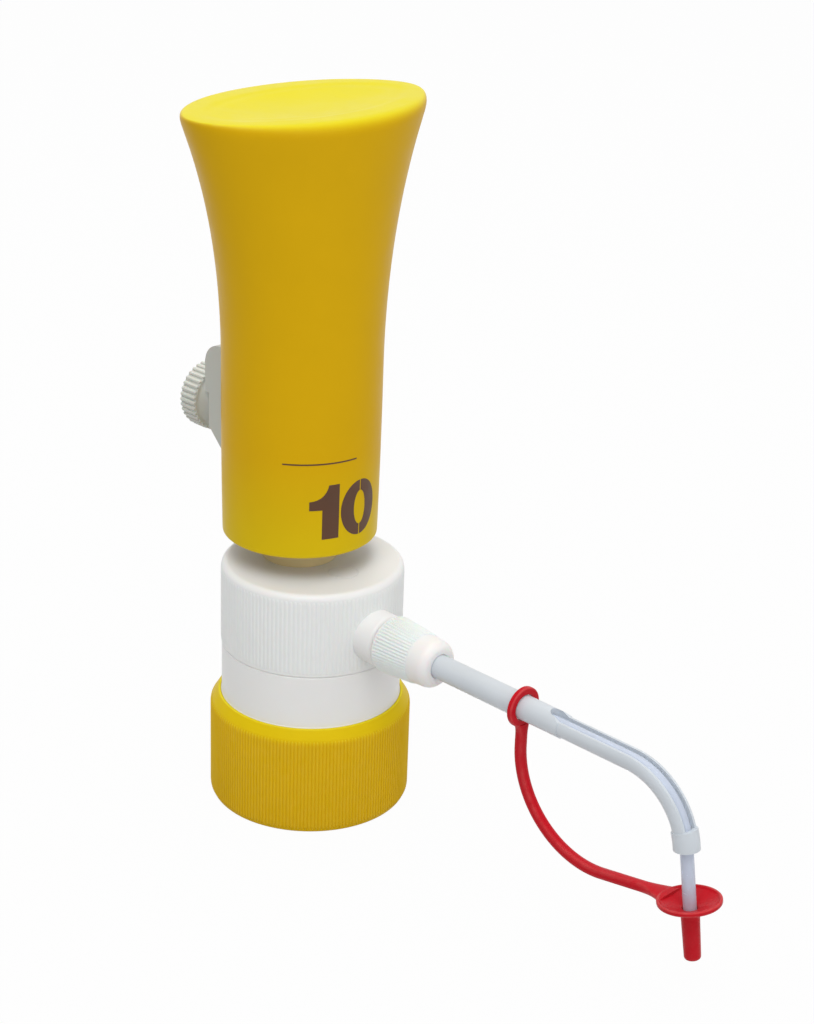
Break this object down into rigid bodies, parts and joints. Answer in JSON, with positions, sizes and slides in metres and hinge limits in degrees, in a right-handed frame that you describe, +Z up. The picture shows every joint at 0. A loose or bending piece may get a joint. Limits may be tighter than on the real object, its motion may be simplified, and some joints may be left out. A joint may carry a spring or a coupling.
{
  "type": "bottle top dispenser",
  "caption": "Hand dispenser for a screw-neck bottle: lifting sleeve with plunger, valve block, screw collar, volume slider with clamp knob, and a bent spout with a tethered cap.",
  "frame": {"origin": "bottle axis at the screw collar's lower rim, which the part also stands on", "axes": "+Z up along the bottle axis, +X along the spout, so the sleeve's wide top runs along Y"},
  "size_m": [0.1794, 0.0686, 0.1848],
  "materials": {
    "collar_yellow": "moulded yellow polypropylene, ribbed grip",
    "sleeve_yellow": "moulded yellow polypropylene, soft gloss",
    "block_white": "moulded warm white polypropylene",
    "valve_white": "white PTFE",
    "seal_grey": "black-grey sealing rubber",
    "barrel_glass": "clear borosilicate glass",
    "ceramic_white": "polished alumina",
    "slider_grey": "light grey moulded plastic",
    "steel": "turned stainless steel",
    "sheath_clear": "translucent fluoropolymer",
    "tube_clear": "translucent fluoropolymer tube",
    "closure_red": "soft red polyethylene"
  },
  "bodies": {
    "collar": {"screw_collar": "collar_yellow"},
    "block": {"block_base": "block_white", "block_shell": "block_white", "bottle_gasket": "valve_white", "intake_nipple": "valve_white", "intake_seat": "valve_white", "intake_cage": "valve_white", "discharge_seat": "valve_white", "valve_plug": "block_white", "barrel": "barrel_glass", "barrel_guard": "block_white", "barrel_seal": "seal_grey", "guide_ring": "block_white"},
    "intake_ball": {"intake_ball": "ceramic_white"},
    "discharge_ball": {"discharge_ball": "ceramic_white"},
    "sleeve": {"sleeve": "sleeve_yellow", "top_lid": "sleeve_yellow", "rod_nut": "block_white", "piston_rod": "block_white", "piston_head": "valve_white", "piston_seals": "seal_grey"},
    "slider": {"stop_slider": "slider_grey", "clamp_plate": "slider_grey"},
    "knob": {"clamp_knob": "slider_grey", "clamp_screw": "steel"},
    "nut": {"union_nut": "block_white"},
    "spout": {"spout_sheath": "sheath_clear", "discharge_tube": "tube_clear", "cap_ring": "closure_red", "cap_strap": "closure_red"},
    "cap": {"closure_cap": "closure_red"}
  },
  "joints": [
    {"name": "block_turn", "type": "hinge", "parent": "collar", "child": "block", "pos_m": [0, 0, 0.03], "axis": [0, 0, 1], "continuous": true},
    {"name": "intake_ball_lift", "type": "slide", "parent": "block", "child": "intake_ball", "axis": [0, 0, 1], "range_m": [0, 0.0012]},
    {"name": "discharge_ball_lift", "type": "slide", "parent": "block", "child": "discharge_ball", "axis": [0, 0, 1], "range_m": [0, 0.0012]},
    {"name": "sleeve_lift", "type": "slide", "parent": "block", "child": "sleeve", "axis": [0, 0, 1], "range_m": [0, 0.05]},
    {"name": "slider_set", "type": "slide", "parent": "sleeve", "child": "slider", "axis": [0, 0, 1], "range_m": [-0.015, 0.025]},
    {"name": "knob_turn", "type": "hinge", "parent": "slider", "child": "knob", "pos_m": [-0.038, 0, 0.1005], "axis": [-1, 0, 0], "range_deg": [0, 360]},
    {"name": "nut_turn", "type": "hinge", "parent": "block", "child": "nut", "pos_m": [0.04, 0, 0.053], "axis": [1, 0, 0], "range_deg": [0, 720]},
    {"name": "spout_swivel", "type": "hinge", "parent": "block", "child": "spout", "pos_m": [0.04, 0, 0.053], "axis": [1, 0, 0], "continuous": true},
    {"name": "cap_pull", "type": "slide", "parent": "spout", "child": "cap", "axis": [0.165, 0, -0.9863], "range_m": [0, 0.008], "deforming": ["cap_strap"]}
  ]
}
